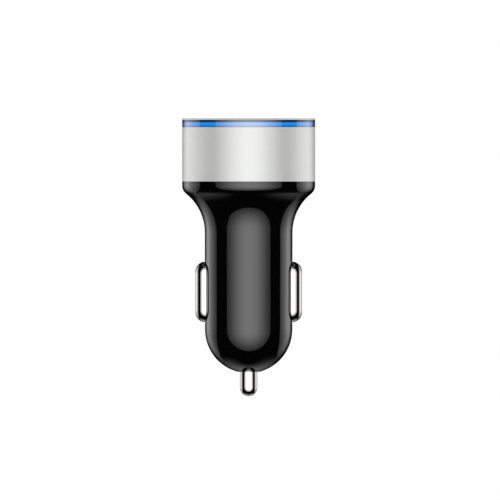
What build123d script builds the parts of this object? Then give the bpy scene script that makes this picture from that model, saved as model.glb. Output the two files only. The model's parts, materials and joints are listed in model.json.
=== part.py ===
from build123d import *
import math
import os

# Car charger plug with two charging ports, all sizes in millimetres.
# +Z points out of the face with the ports, -Z out of the tip, and X runs through the side contacts.
# The origin is on the axis, half way up the plain land of the barrel above the side contacts.

# Head: aluminium sleeve, light ring, face plate and bezel, all flush at one diameter
head_diameter = 32.0
sleeve_height = 13.1
sleeve_wall = 1.0
sleeve_edge = 0.05
ring_band_height = 1.25
ring_skirt_wall = 1.2
face_rim_height = 0.48
bezel_height = 0.39
bezel_width = 0.9
bezel_edge = 0.12
plug_depth = 1.6
window_chamfer = 0.25

# Housing, one moulding from the spigot under the sleeve down to the dome
spigot_wall = 1.3
ledge_width = 1.2
collar_side = 1.05
collar_round = 2.35
flare_round = 12.0
barrel_diameter = 21.1
barrel_length = 23.3
barrel_wall = 1.5
barrel_draft = 0.04
land_length = 6.4

# Side contacts: pressed metal caps that stand out of slots in the barrel, undercut where they leave it
contact_length = 14.6
contact_width = 5.8
contact_height = 2.25
contact_round = 2.35
contact_rim = 0.05
contact_undercut = 0.5
contact_wall = 0.4
crown_wall = 0.6
pocket_chamfer = 0.6
contact_lip = 1.1
contact_travel = 2.2
slot_gap = 0.3
slot_land_gap = 0.25
pad_margin = 0.5

# Leaf spring behind each side contact
leaf_width = 2.4
leaf_metal = 0.25
leaf_end_gap = 0.4

# Centre contact at the tip, pushed out by a coil spring in a moulded guide
tip_diameter = 4.16
tip_reach = 5.5
tip_shoulder = 0.37
tip_straight_gap = 0.1
tip_floor = 3.0
tip_flange_width = 1.25
tip_flange_height = 1.2
tip_peg_height = 1.5
guide_wall = 1.1
spring_length = 6.7
spring_wire = 0.5
spring_wire_sides = 6
spring_turns = 5
terminal_metal = 0.4
terminal_ear_width = 3.0
terminal_ear_height = 2.0

# Charging port receptacles, two of them side by side with their wide sides along X
port_count = 2
port_pitch = 9.4
port_recess = 0.3
shell_width = 13.1
shell_thickness = 5.7
shell_length = 14.0
shell_metal = 0.3
shell_corner = 0.8
shell_tab_width = 2.0
shell_tab_reach = 0.8
finger_width = 1.6
finger_length = 4.4
finger_level = 4.2
finger_spacing = 6.6
finger_bow = 0.5
finger_bend = 3.1
tongue_width = 11.1
tongue_thickness = 1.84
tongue_length = 8.6
tongue_recess = 2.5
tongue_offset = 1.0
tongue_chamfer = 0.3
blade_width = 1.0
blade_metal = 0.25
blade_bow = 0.35
blade_bend = 5.2
blade_positions = (-3.5, -1.0, 1.0, 3.5)

# Circuit boards and what is soldered to them
board_thickness = 1.2
board_tab_width = 8.0
board_tab_rise = 0.5
board_step_gap = 0.8
board_wall_gap = 1.2
led_count = 4
led_length = 1.6
led_width = 1.0
led_height = 0.8
led_gap = 0.3
component_gap = 1.0
inductor_diameter = 7.0
inductor_height = 4.4
inductor_flange = 0.8
inductor_waist = 1.0
input_can_diameter = 5.0
input_can_length = 8.0
output_can_diameter = 6.3
output_can_length = 7.7
can_edge = 0.4
can_groove_depth = 0.3
can_groove_level = 1.4
chip_width = 3.9
chip_length = 4.9
chip_height = 1.5
chip_lead_count = 4
chip_lead_pitch = 1.27
chip_lead_width = 0.42
chip_lead_metal = 0.2
chip_lead_reach = 1.05
diode_length = 4.3
diode_width = 2.6
diode_height = 2.1
diode_draft = 4.0
fuse_length = 3.2
fuse_width = 1.6
fuse_height = 1.0
small_chip_length = 2.0
small_chip_width = 1.25
small_chip_height = 0.6
small_chip_pitch = 3.0
small_chip_count = 3

# Clearances
slip_clearance = 0.05
fit_clearance = 0.15
slide_clearance = 0.25
blade_clearance = 0.05
solder_clearance = 0.2
board_clearance = 0.3
can_clearance = 0.1

# Radii
head_radius = head_diameter / 2
barrel_radius = barrel_diameter / 2
barrel_inner = barrel_radius - barrel_wall
dome_radius = barrel_radius - barrel_draft
spigot_outer = head_radius - sleeve_wall - slip_clearance
spigot_inner = spigot_outer - spigot_wall
ledge_inner = spigot_inner - ledge_width
skirt_outer = spigot_inner - fit_clearance
skirt_inner = skirt_outer - ring_skirt_wall
plug_radius = skirt_inner - fit_clearance
bezel_inner = head_radius - bezel_width

# Levels from the land upwards: two arcs, both turning by the same angle, make the flare
land_bottom = -land_length / 2
flare_bottom = land_length / 2
flare_turn = math.acos(1 - (head_radius - barrel_radius) / (collar_round + flare_round))
collar_bottom = flare_bottom + (collar_round + flare_round) * math.sin(flare_turn)
shoulder_level = collar_bottom + collar_side
sleeve_top = shoulder_level + sleeve_height
ring_top = sleeve_top + ring_band_height
face_rim_top = ring_top + face_rim_height
face_level = face_rim_top + bezel_height
shell_mouth = face_level - port_recess
usb_board_top = shell_mouth - shell_length
usb_board_bottom = usb_board_top - board_thickness
skirt_bottom = usb_board_top + led_height + led_gap
plug_bottom = ring_top - plug_depth

# Levels from the land downwards
dome_level = flare_bottom - barrel_length
dome_bottom = dome_level - dome_radius
tip_radius = tip_diameter / 2
tip_shank_radius = tip_radius + tip_shoulder
tip_hole_radius = tip_shank_radius + fit_clearance
tip_flange_radius = tip_shank_radius + tip_flange_width
tip_seat = dome_bottom + tip_floor
tip_flange_top = tip_seat + tip_flange_height
tip_bottom = dome_bottom - tip_reach
guide_inner = tip_flange_radius + slide_clearance
guide_outer = guide_inner + guide_wall
guide_top = tip_flange_top + spring_length
board_bottom = guide_top + terminal_metal

# Side contacts: the lip seats against a flat pad moulded inside the barrel
contact_level = land_bottom - slot_land_gap - slot_gap - contact_length / 2
contact_crown = barrel_radius + contact_height
stem_length = contact_length - 2 * contact_undercut
stem_width = contact_width - 2 * contact_undercut
pocket_length = stem_length - 2 * contact_wall
pocket_width = stem_width - 2 * contact_wall
lip_length = contact_length + 2 * contact_lip
lip_width = contact_width + 2 * contact_lip
pad_length = lip_length + 2 * pad_margin
pad_width = lip_width + 2 * pad_margin
pad_seat = math.sqrt(barrel_inner**2 - (pad_width / 2) ** 2)
lip_back = pad_seat - contact_wall
board_lower_half = lip_back - contact_travel - board_clearance
board_upper_half = barrel_inner - board_wall_gap
board_step_level = contact_level + lip_length / 2 + board_step_gap

os.makedirs("parts", exist_ok=True)


def contact_plane(side):
    """Plane on the pad of one side: its x runs along +Z and its normal points out of the barrel."""
    return Plane(origin=(side * pad_seat, 0, contact_level), x_dir=(0, 0, 1), z_dir=(side, 0, 0))


def port_centre(row):
    """Y of a port's middle, for row +1 or -1."""
    return row * port_pitch / 2


def write(piece, name):
    """Names a finished piece and writes it."""
    piece.part.label = name
    export_step(piece.part, f"parts/{name}.step")


# Barrel housing: flat pads behind the two slots, cut from a drum that reaches half into the wall
with BuildPart() as slot_pads:
    with BuildSketch(Plane.XY.offset(contact_level)):
        Circle(barrel_radius - barrel_wall / 2)
        Rectangle(2 * pad_seat, barrel_diameter, mode=Mode.SUBTRACT)
        Rectangle(barrel_diameter, pad_width, mode=Mode.INTERSECT)
    extrude(amount=pad_length / 2, both=True)

with BuildPart() as barrel_housing:
    # Outside: spigot, shoulder, collar, flare, land, drafted barrel and dome
    with BuildSketch(Plane.XZ):
        with BuildLine():
            Polyline(
                (0, sleeve_top),
                (spigot_outer, sleeve_top),
                (spigot_outer, shoulder_level),
                (head_radius, shoulder_level),
                (head_radius, collar_bottom),
            )
            CenterArc(
                center=(head_radius - collar_round, collar_bottom),
                radius=collar_round,
                start_angle=0,
                arc_size=-math.degrees(flare_turn),
            )
            CenterArc(
                center=(barrel_radius + flare_round, flare_bottom),
                radius=flare_round,
                start_angle=180 - math.degrees(flare_turn),
                arc_size=math.degrees(flare_turn),
            )
            Polyline((barrel_radius, flare_bottom), (barrel_radius, land_bottom), (dome_radius, dome_level))
            CenterArc(center=(0, dome_level), radius=dome_radius, start_angle=0, arc_size=-90)
            Line((0, dome_bottom), (0, sleeve_top))
        make_face()
    revolve(axis=Axis.Z)

    # Inside: board ledge, inner flare, barrel, dome, and the guide and floor of the tip contact
    inner_flare = flare_round + barrel_wall
    flare_centre = barrel_radius + flare_round
    inner_turn = math.acos((flare_centre - ledge_inner) / inner_flare)
    guide_root_angle = math.acos(guide_outer / barrel_inner)
    guide_root = dome_level - barrel_inner * math.sin(guide_root_angle)
    with BuildSketch(Plane.XZ):
        with BuildLine():
            Polyline(
                (0, sleeve_top),
                (spigot_inner, sleeve_top),
                (spigot_inner, usb_board_bottom),
                (ledge_inner, usb_board_bottom),
                (ledge_inner, flare_bottom + inner_flare * math.sin(inner_turn)),
            )
            CenterArc(
                center=(flare_centre, flare_bottom),
                radius=inner_flare,
                start_angle=180 - math.degrees(inner_turn),
                arc_size=math.degrees(inner_turn),
            )
            Line((barrel_inner, flare_bottom), (barrel_inner, dome_level))
            CenterArc(
                center=(0, dome_level),
                radius=barrel_inner,
                start_angle=0,
                arc_size=-math.degrees(guide_root_angle),
            )
            Polyline(
                (guide_outer, guide_root),
                (guide_outer, guide_top),
                (guide_inner, guide_top),
                (guide_inner, tip_seat),
                (tip_hole_radius, tip_seat),
                (tip_hole_radius, tip_bottom),
                (0, tip_bottom),
                (0, sleeve_top),
            )
        make_face()
    revolve(axis=Axis.Z, mode=Mode.SUBTRACT)

    # Pads, and a slot through each pad and the wall outside it
    add(slot_pads.part)
    for side in (-1, 1):
        with BuildSketch(contact_plane(side)):
            SlotOverall(contact_length + 2 * slot_gap, contact_width + 2 * slot_gap)
        extrude(amount=barrel_radius, mode=Mode.SUBTRACT)
write(barrel_housing, "barrel_housing")


# Head sleeve: turned aluminium tube that slides over the spigot and stands on the shoulder
with BuildPart() as head_sleeve:
    with BuildSketch(Plane.XY.offset(shoulder_level)):
        Circle(head_radius)
        Circle(head_radius - sleeve_wall, mode=Mode.SUBTRACT)
    extrude(amount=sleeve_height)
    outer_edges = head_sleeve.edges().filter_by(GeomType.CIRCLE)
    chamfer([edge for edge in outer_edges if edge.radius > head_radius - sleeve_wall / 2], sleeve_edge)
write(head_sleeve, "head_sleeve")


# Light ring: visible band on top of the sleeve, with a skirt that leads the light up from the LEDs
with BuildPart() as light_ring:
    with BuildSketch(Plane.XZ):
        with BuildLine():
            Polyline(
                (skirt_inner, skirt_bottom),
                (skirt_outer, skirt_bottom),
                (skirt_outer, sleeve_top),
                (head_radius, sleeve_top),
                (head_radius, ring_top),
                (skirt_inner, ring_top),
                close=True,
            )
        make_face()
    revolve(axis=Axis.Z)
write(light_ring, "light_ring")


# Face plate: disc with a plug that enters the ring's skirt, and a window for each port
with BuildPart() as face_plate:
    with BuildSketch(Plane.XZ):
        with BuildLine():
            Polyline(
                (0, plug_bottom),
                (plug_radius, plug_bottom),
                (plug_radius, ring_top),
                (head_radius, ring_top),
                (head_radius, face_rim_top),
                (bezel_inner - slip_clearance, face_rim_top),
                (bezel_inner - slip_clearance, face_level),
                (0, face_level),
                close=True,
            )
        make_face()
    revolve(axis=Axis.Z)
    with BuildSketch(Plane.XY.offset(face_level)):
        with GridLocations(0, port_pitch, 1, port_count):
            RectangleRounded(
                shell_width + 2 * fit_clearance,
                shell_thickness + 2 * fit_clearance,
                shell_corner + fit_clearance,
            )
    extrude(amount=plug_bottom - face_level, mode=Mode.SUBTRACT)
    face_top = face_plate.faces().filter_by(Axis.Z).sort_by(Axis.Z)[-1]
    for window in face_top.inner_wires():
        chamfer(window.edges(), window_chamfer)
write(face_plate, "face_plate")


# Face bezel: thin metal rim let into the edge of the face plate
with BuildPart() as face_bezel:
    with BuildSketch(Plane.XY.offset(face_rim_top)):
        Circle(head_radius)
        Circle(bezel_inner, mode=Mode.SUBTRACT)
    extrude(amount=bezel_height)
    bezel_edges = face_bezel.edges().filter_by(GeomType.CIRCLE).group_by(Axis.Z)[-1]
    chamfer(bezel_edges.sort_by(lambda edge: edge.radius)[-1], bezel_edge)
write(face_bezel, "face_bezel")


# Port receptacles: folded shell, moulded tongue and four sprung blades in each
for letter, row in (("a", 1), ("b", -1)):
    port_y = port_centre(row)
    tongue_y = port_y + tongue_offset
    groove_y = tongue_y - tongue_thickness / 2
    tongue_tip = shell_mouth - tongue_recess
    tongue_root = tongue_tip - tongue_length
    cavity_width = shell_width - 2 * shell_metal
    cavity_thickness = shell_thickness - 2 * shell_metal

    with BuildPart() as usb_shell:
        with BuildSketch(Plane((0, port_y, usb_board_top))):
            RectangleRounded(shell_width, shell_thickness, shell_corner)
            RectangleRounded(cavity_width, cavity_thickness, shell_corner - shell_metal, mode=Mode.SUBTRACT)
        extrude(amount=shell_length)
        # Solder tabs at the two ends, through the board
        with BuildSketch(Plane((0, port_y, usb_board_bottom - shell_tab_reach))):
            with GridLocations(shell_width - shell_metal, 0, 2, 1):
                Rectangle(shell_metal, shell_tab_width)
        extrude(amount=board_thickness + shell_tab_reach)
        # Windows in the wide sides, with a bowed finger standing in each
        finger_root = usb_board_top + finger_level
        with BuildSketch(Plane((0, port_y, finger_root), x_dir=(1, 0, 0), z_dir=(0, -1, 0))):
            with GridLocations(finger_spacing, 0, 2, 1):
                Rectangle(
                    finger_width + 2 * solder_clearance,
                    finger_length + solder_clearance,
                    align=(Align.CENTER, Align.MIN),
                )
        extrude(amount=shell_thickness, both=True, mode=Mode.SUBTRACT)
        for wall in (-1, 1):
            outer_y = port_y + wall * shell_thickness / 2
            inner_y = outer_y - wall * shell_metal
            bend_level = finger_root + finger_bend
            for finger_x in (-finger_spacing / 2, finger_spacing / 2):
                with BuildSketch(Plane.YZ.offset(finger_x)):
                    with BuildLine():
                        Polyline(
                            (outer_y, finger_root - shell_metal),
                            (outer_y, finger_root),
                            (outer_y - wall * finger_bow, bend_level),
                            (outer_y, finger_root + finger_length),
                            (inner_y, finger_root + finger_length),
                            (inner_y - wall * finger_bow, bend_level),
                            (inner_y, finger_root),
                            (inner_y, finger_root - shell_metal),
                            close=True,
                        )
                    make_face()
                extrude(amount=finger_width / 2, both=True)
    write(usb_shell, f"usb_shell_{letter}")

    with BuildPart() as usb_insulator:
        with BuildSketch(Plane((0, port_y, usb_board_top))):
            Rectangle(cavity_width - 2 * fit_clearance, cavity_thickness - 2 * fit_clearance)
        extrude(amount=tongue_root - usb_board_top)
        with BuildSketch(Plane((0, tongue_y, tongue_root))):
            Rectangle(tongue_width, tongue_thickness)
        extrude(amount=tongue_length)
        tip_face = usb_insulator.faces().sort_by(Axis.Z)[-1]
        chamfer(tip_face.edges().filter_by(Axis.X), tongue_chamfer)
        # One groove for each blade, down the tongue and through the base
        with BuildSketch(Plane((0, groove_y, usb_board_top))):
            with Locations([(blade_x, 0) for blade_x in blade_positions]):
                Rectangle(
                    blade_width + 2 * blade_clearance,
                    blade_metal + 2 * blade_clearance,
                    align=(Align.CENTER, Align.MIN),
                )
        extrude(amount=tongue_tip - blade_width - usb_board_top, mode=Mode.SUBTRACT)
    write(usb_insulator, f"usb_insulator_{letter}")

    with BuildPart() as usb_contacts:
        blade_front = groove_y + blade_clearance
        blade_back = blade_front + blade_metal
        blade_top = tongue_tip - blade_width - blade_clearance
        bow_level = tongue_root + blade_bend
        for blade_x in blade_positions:
            with BuildSketch(Plane.YZ.offset(blade_x)):
                with BuildLine():
                    Polyline(
                        (blade_front, usb_board_bottom - shell_tab_reach),
                        (blade_back, usb_board_bottom - shell_tab_reach),
                        (blade_back, tongue_root + blade_width),
                        (blade_back - blade_bow, bow_level),
                        (blade_back, blade_top),
                        (blade_front, blade_top),
                        (blade_front - blade_bow, bow_level),
                        (blade_front, tongue_root + blade_width),
                        close=True,
                    )
                make_face()
            extrude(amount=blade_width / 2, both=True)
    write(usb_contacts, f"usb_contacts_{letter}")


# USB board: round board on the ledge, slotted for tails, tabs and the main board's tab
with BuildPart() as usb_board:
    with BuildSketch(Plane.XY.offset(usb_board_bottom)):
        Circle(spigot_inner - fit_clearance)
        Rectangle(
            board_tab_width + 2 * solder_clearance,
            board_thickness + 2 * solder_clearance,
            mode=Mode.SUBTRACT,
        )
        with GridLocations(shell_width - shell_metal, port_pitch, 2, port_count):
            Rectangle(
                shell_metal + 2 * solder_clearance,
                shell_tab_width + 2 * solder_clearance,
                mode=Mode.SUBTRACT,
            )
        for row in (-1, 1):
            tail_y = port_centre(row) + tongue_offset - tongue_thickness / 2 + blade_clearance
            with Locations([(blade_x, tail_y + blade_metal / 2) for blade_x in blade_positions]):
                Rectangle(
                    blade_width + 2 * solder_clearance,
                    blade_metal + 2 * solder_clearance,
                    mode=Mode.SUBTRACT,
                )
    extrude(amount=board_thickness)
write(usb_board, "usb_board")


# Blue LEDs on the USB board, right under the skirt of the light ring
with BuildPart() as ring_leds:
    with BuildSketch(Plane.XY.offset(usb_board_top)):
        with PolarLocations((skirt_inner + skirt_outer) / 2, led_count, start_angle=180 / led_count):
            Rectangle(led_width, led_length)
    extrude(amount=led_height)
write(ring_leds, "ring_leds")


# Main board: upright in the barrel, narrow between the side contacts, its tab through the USB board
with BuildPart() as main_board:
    with BuildSketch(Plane.XZ):
        with BuildLine():
            Polyline(
                (0, board_bottom),
                (board_lower_half, board_bottom),
                (board_lower_half, board_step_level),
                (board_upper_half, board_step_level),
                (board_upper_half, usb_board_bottom),
                (board_tab_width / 2, usb_board_bottom),
                (board_tab_width / 2, usb_board_top + board_tab_rise),
                (0, usb_board_top + board_tab_rise),
            )
            mirror(about=Plane.YZ)
        make_face()
    extrude(amount=board_thickness / 2, both=True)
write(main_board, "main_board")


# Drum inductor on the back of the main board, below the USB board
front_face = -board_thickness / 2
back_face = board_thickness / 2
inductor_level = usb_board_bottom - component_gap - shell_tab_reach - inductor_diameter / 2
inductor_plane = Plane((0, back_face, inductor_level), x_dir=(1, 0, 0), z_dir=(0, 1, 0))
with BuildPart() as inductor_core:
    with BuildSketch(inductor_plane):
        Circle(inductor_diameter / 2)
    extrude(amount=inductor_height)
    with BuildSketch(inductor_plane.offset(inductor_flange)):
        Circle(inductor_diameter / 2)
        Circle(inductor_diameter / 2 - inductor_waist, mode=Mode.SUBTRACT)
    extrude(amount=inductor_height - 2 * inductor_flange, mode=Mode.SUBTRACT)
write(inductor_core, "inductor_core")

with BuildPart() as inductor_winding:
    with BuildSketch(inductor_plane.offset(inductor_flange)):
        Circle(inductor_diameter / 2 - solder_clearance)
        Circle(inductor_diameter / 2 - inductor_waist, mode=Mode.SUBTRACT)
    extrude(amount=inductor_height - 2 * inductor_flange)
write(inductor_winding, "inductor_winding")


# Electrolytic cans, lying against the front of the main board
ear_top = board_bottom + terminal_ear_height
input_can_bottom = ear_top + component_gap
output_can_bottom = usb_board_bottom - component_gap - shell_tab_reach - output_can_length
for can_name, can_diameter, can_length, can_bottom in (
    ("input_capacitor", input_can_diameter, input_can_length, input_can_bottom),
    ("output_capacitor", output_can_diameter, output_can_length, output_can_bottom),
):
    can_radius = can_diameter / 2
    can_y = front_face - can_clearance - can_radius
    with BuildPart() as can:
        with BuildSketch(Plane((0, can_y, can_bottom))):
            Circle(can_radius)
        extrude(amount=can_length)
        chamfer(can.edges().group_by(Axis.Z)[-1], can_edge)
        # Crimped groove near the sealed end
        with BuildSketch(Plane((0, can_y, can_bottom + can_groove_level))):
            Circle(can_radius)
            Circle(can_radius - can_groove_depth, mode=Mode.SUBTRACT)
        extrude(amount=can_groove_depth, mode=Mode.SUBTRACT)
    write(can, can_name)


# Fuse, diode and converter chip, one above the other below the inductor
fuse_level = ear_top + component_gap + fuse_width / 2
diode_level = fuse_level + fuse_width / 2 + component_gap + diode_width / 2
chip_level = diode_level + diode_width / 2 + component_gap + chip_length / 2
chip_row_level = chip_level + chip_length / 2 + component_gap + small_chip_width / 2
back_plane = Plane((0, back_face, 0), x_dir=(-1, 0, 0), z_dir=(0, 1, 0))

with BuildPart() as board_fuse:
    with BuildSketch(back_plane):
        with Locations((0, fuse_level)):
            Rectangle(fuse_length, fuse_width)
    extrude(amount=fuse_height)
write(board_fuse, "board_fuse")

with BuildPart() as rectifier_diode:
    with BuildSketch(back_plane):
        with Locations((0, diode_level)):
            Rectangle(diode_length, diode_width)
    extrude(amount=diode_height, taper=diode_draft)
write(rectifier_diode, "rectifier_diode")

with BuildPart() as converter_chip:
    with BuildSketch(back_plane):
        with Locations((0, chip_level)):
            Rectangle(chip_width, chip_length)
    extrude(amount=chip_height)
write(converter_chip, "converter_chip")

with BuildPart() as converter_leads:
    lead_mid = chip_height / 2
    for side in (-1, 1):
        lead_root = side * chip_width / 2
        lead_bend = lead_root + side * chip_lead_reach / 2
        lead_end = lead_root + side * chip_lead_reach
        for lead in range(chip_lead_count):
            lead_level = chip_level + (lead - (chip_lead_count - 1) / 2) * chip_lead_pitch
            with BuildSketch(Plane.XY.offset(lead_level)):
                with BuildLine():
                    Polyline(
                        (lead_root, back_face + lead_mid),
                        (lead_bend, back_face + lead_mid),
                        (lead_bend, back_face + chip_lead_metal),
                        (lead_end, back_face + chip_lead_metal),
                        (lead_end, back_face),
                        (lead_bend - side * chip_lead_metal, back_face),
                        (lead_bend - side * chip_lead_metal, back_face + lead_mid - chip_lead_metal),
                        (lead_root, back_face + lead_mid - chip_lead_metal),
                        close=True,
                    )
                make_face()
            extrude(amount=chip_lead_width / 2, both=True)
write(converter_leads, "converter_leads")

# Rows of small chips: capacitors above the converter, resistors above the input can
front_plane = Plane((0, front_face, 0), x_dir=(1, 0, 0), z_dir=(0, -1, 0))
resistor_level = input_can_bottom + input_can_length + component_gap + small_chip_width / 2
for row_name, row_plane, row_level in (
    ("chip_capacitors", back_plane, chip_row_level),
    ("chip_resistors", front_plane, resistor_level),
):
    with BuildPart() as chip_row:
        with BuildSketch(row_plane):
            with Locations((0, row_level)):
                with GridLocations(small_chip_pitch, 0, small_chip_count, 1):
                    Rectangle(small_chip_length, small_chip_width)
        extrude(amount=small_chip_height)
    write(chip_row, row_name)


# Spring terminal: disc on top of the guide, with two ears that hold the foot of the main board
with BuildPart() as spring_terminal:
    with BuildSketch(Plane.XY.offset(guide_top)):
        Circle(guide_outer)
    extrude(amount=terminal_metal)
    with BuildSketch(Plane.XY.offset(board_bottom)):
        with GridLocations(0, board_thickness + terminal_metal, 1, 2):
            Rectangle(terminal_ear_width, terminal_metal)
    extrude(amount=terminal_ear_height)
write(spring_terminal, "spring_terminal")


# Tip contact: round-ended pin, widened under the dome, with a flange that stops it at the floor
with BuildPart() as tip_contact:
    straight_top = dome_bottom - tip_straight_gap
    peg_radius = tip_flange_radius - tip_flange_width - spring_wire
    with BuildSketch(Plane.XZ):
        with BuildLine():
            CenterArc(center=(0, tip_bottom + tip_radius), radius=tip_radius, start_angle=-90, arc_size=90)
            Polyline(
                (tip_radius, tip_bottom + tip_radius),
                (tip_radius, straight_top),
                (tip_shank_radius, tip_seat - tip_shoulder),
                (tip_shank_radius, tip_seat),
                (tip_flange_radius, tip_seat),
                (tip_flange_radius, tip_flange_top),
                (peg_radius, tip_flange_top),
                (peg_radius, tip_flange_top + tip_peg_height),
                (0, tip_flange_top + tip_peg_height),
                (0, tip_bottom),
            )
        make_face()
    revolve(axis=Axis.Z)
write(tip_contact, "tip_contact")


# Tip spring: open coil round the peg, between the flange and the terminal
coil_radius = (peg_radius + guide_inner) / 2
coil_height = spring_length - spring_wire
with BuildPart() as tip_spring:
    with BuildLine(Plane.XY.offset(tip_flange_top + spring_wire / 2)):
        coil = Helix(pitch=coil_height / spring_turns, height=coil_height, radius=coil_radius)
    with BuildSketch(Plane(origin=coil @ 0, z_dir=coil % 0)):
        RegularPolygon(spring_wire / 2, spring_wire_sides)
    sweep(path=coil, is_frenet=True)
write(tip_spring, "tip_spring")


# Side contacts: a pressed cap with a lip that is held behind the pad, and a bowed leaf spring inside
cap_height = contact_round + contact_rim + contact_undercut
leaf_base = board_lower_half
leaf_crown = contact_crown - crown_wall - slip_clearance
leaf_half = pocket_length / 2 - leaf_end_gap
for side_name, side in (("left", -1), ("right", 1)):
    pad_plane = contact_plane(side)
    with BuildPart() as side_contact:
        # Cap outside the barrel: round crown, narrow straight rim and undercut
        with BuildSketch(pad_plane.offset(contact_crown - cap_height - pad_seat)):
            SlotOverall(contact_length, contact_width)
        extrude(amount=cap_height)
        cap_faces = side_contact.faces().filter_by(Axis.X).sort_by(lambda face: side * face.center().X)
        crown_edges = cap_faces[-1].edges()
        chamfer(cap_faces[0].edges(), contact_undercut)
        fillet(crown_edges, contact_round)
        # Stem through the slot, lip behind the pad, and pocket for the leaf spring
        with BuildSketch(pad_plane.offset(-contact_wall)):
            SlotOverall(stem_length, stem_width)
        extrude(amount=contact_crown - cap_height - lip_back)
        with BuildSketch(pad_plane.offset(-contact_wall)):
            SlotOverall(lip_length, lip_width)
        extrude(amount=contact_wall)
        with BuildSketch(pad_plane.offset(-contact_wall)):
            SlotOverall(pocket_length, pocket_width)
        extrude(amount=contact_crown - crown_wall - lip_back, mode=Mode.SUBTRACT)
        flat_faces = side_contact.faces().filter_by(Axis.X).sort_by(lambda face: side * face.center().X)
        chamfer(flat_faces[-2].edges(), pocket_chamfer)
    write(side_contact, f"{side_name}_side_contact")

    with BuildPart() as contact_spring:
        with BuildSketch(Plane.XZ):
            with BuildLine():
                ThreePointArc(
                    (side * leaf_base, contact_level - leaf_half),
                    (side * leaf_crown, contact_level),
                    (side * leaf_base, contact_level + leaf_half),
                )
                Line(
                    (side * leaf_base, contact_level + leaf_half),
                    (side * leaf_base, contact_level + leaf_half - leaf_metal),
                )
                ThreePointArc(
                    (side * leaf_base, contact_level + leaf_half - leaf_metal),
                    (side * (leaf_crown - leaf_metal), contact_level),
                    (side * leaf_base, contact_level - leaf_half + leaf_metal),
                )
                Line(
                    (side * leaf_base, contact_level - leaf_half + leaf_metal),
                    (side * leaf_base, contact_level - leaf_half),
                )
            make_face()
        extrude(amount=leaf_width / 2, both=True)
    write(contact_spring, f"{side_name}_contact_spring")
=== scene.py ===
# %% [markdown]
# # A car charger plug in gloss black, satin aluminium and bright nickel
# The solids of the plug come packed, each in its place. They are loaded as a fixed frame, and every cell
# below works around them: first the camera and the studio, then the finish of each piece, then the pieces
# that get a finer mesh than the solids have. All lengths are in metres.

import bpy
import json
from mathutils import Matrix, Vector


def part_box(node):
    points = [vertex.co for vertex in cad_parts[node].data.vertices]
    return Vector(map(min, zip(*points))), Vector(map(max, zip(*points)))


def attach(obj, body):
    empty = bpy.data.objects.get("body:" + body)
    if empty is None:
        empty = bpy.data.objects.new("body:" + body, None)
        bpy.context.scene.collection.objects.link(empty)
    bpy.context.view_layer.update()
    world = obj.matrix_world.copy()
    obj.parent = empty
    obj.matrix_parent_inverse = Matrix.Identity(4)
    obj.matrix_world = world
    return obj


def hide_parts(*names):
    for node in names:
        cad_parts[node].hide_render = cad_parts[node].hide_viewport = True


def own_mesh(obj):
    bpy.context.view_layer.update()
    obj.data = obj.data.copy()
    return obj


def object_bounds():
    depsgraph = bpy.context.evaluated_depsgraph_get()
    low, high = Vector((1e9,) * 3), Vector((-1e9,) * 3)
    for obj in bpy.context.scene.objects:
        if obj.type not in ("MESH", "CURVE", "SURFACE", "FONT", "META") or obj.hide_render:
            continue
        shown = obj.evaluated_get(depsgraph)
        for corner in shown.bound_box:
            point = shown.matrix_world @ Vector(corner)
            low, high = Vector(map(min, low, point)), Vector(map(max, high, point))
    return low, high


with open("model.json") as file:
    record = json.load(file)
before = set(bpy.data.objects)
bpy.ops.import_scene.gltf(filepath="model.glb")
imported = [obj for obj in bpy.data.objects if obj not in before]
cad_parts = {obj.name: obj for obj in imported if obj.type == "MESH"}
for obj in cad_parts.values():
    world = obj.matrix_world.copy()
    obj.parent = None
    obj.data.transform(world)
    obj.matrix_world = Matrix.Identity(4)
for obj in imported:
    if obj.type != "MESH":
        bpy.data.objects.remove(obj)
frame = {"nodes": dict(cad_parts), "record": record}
cad_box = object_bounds()
print("the plug measures", [round(1000 * side, 2) for side in cad_box[1] - cad_box[0]], "mm")

# %% [markdown]
# A few names make the rest easier to read: a millimetre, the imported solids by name, the mounts, which are
# the places where the plug meets its socket and whose radii are written in the record, and how far each
# sprung contact travels.

# %% Modules and units
import json
import math

import bmesh
import bpy
from mathutils import Matrix, Vector

MM = 0.001
nodes = frame["nodes"]
mounts = {mount["name"]: mount for mount in frame["record"]["mounts"]}
scene = bpy.context.scene
scene.view_settings.view_transform = "Standard"

# %% [markdown]
# ## Colours and shader nodes
# Colours are written as the hex values that a picture editor shows. A shader wants linear light, so one
# function turns the one into the other. A second small function adds a shader node with its settings, and
# links or sets each of its sockets, which keeps every material below short enough to read.


# %% Colour and node helpers
def linear(hex_colour):
    """Linear red, green, blue and alpha of an sRGB hex colour."""
    channels = [int(hex_colour[place : place + 2], 16) / 255 for place in (1, 3, 5)]
    return [c / 12.92 if c <= 0.04045 else ((c + 0.055) / 1.055) ** 2.4 for c in channels] + [1.0]


def add(owner, kind, sockets=None, **settings):
    """Adds a shader node, sets its own settings, and links or sets the sockets named or numbered."""
    tree = owner.node_tree
    made = tree.nodes.new(kind)
    for name, value in settings.items():
        setattr(made, name, value)
    for socket, value in (sockets or {}).items():
        if isinstance(value, bpy.types.NodeSocket):
            tree.links.new(value, made.inputs[socket])
        else:
            made.inputs[socket].default_value = value
    return made


def empty_tree(owner):
    """The material or world, with its node tree switched on and emptied."""
    owner.use_nodes = True
    owner.node_tree.nodes.clear()
    return owner


print("half way up the hex scale, linear light is at", round(linear("#808080")[0], 3))

# %% [markdown]
# ## The camera
# The photograph looks straight at the side of the plug, and its upright edges don't converge, so the camera
# is orthographic and level. Only two numbers frame it: how many millimetres one pixel of the photograph
# covers, and where the plug's axis and origin fall in the picture.

# %% Make the camera
PHOTO_WIDTH = 500
PIXEL = 0.2406 * MM
AXIS_COLUMN = 248.65
ORIGIN_ROW = 246.0
CAMERA_BACK = 0.5

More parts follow.
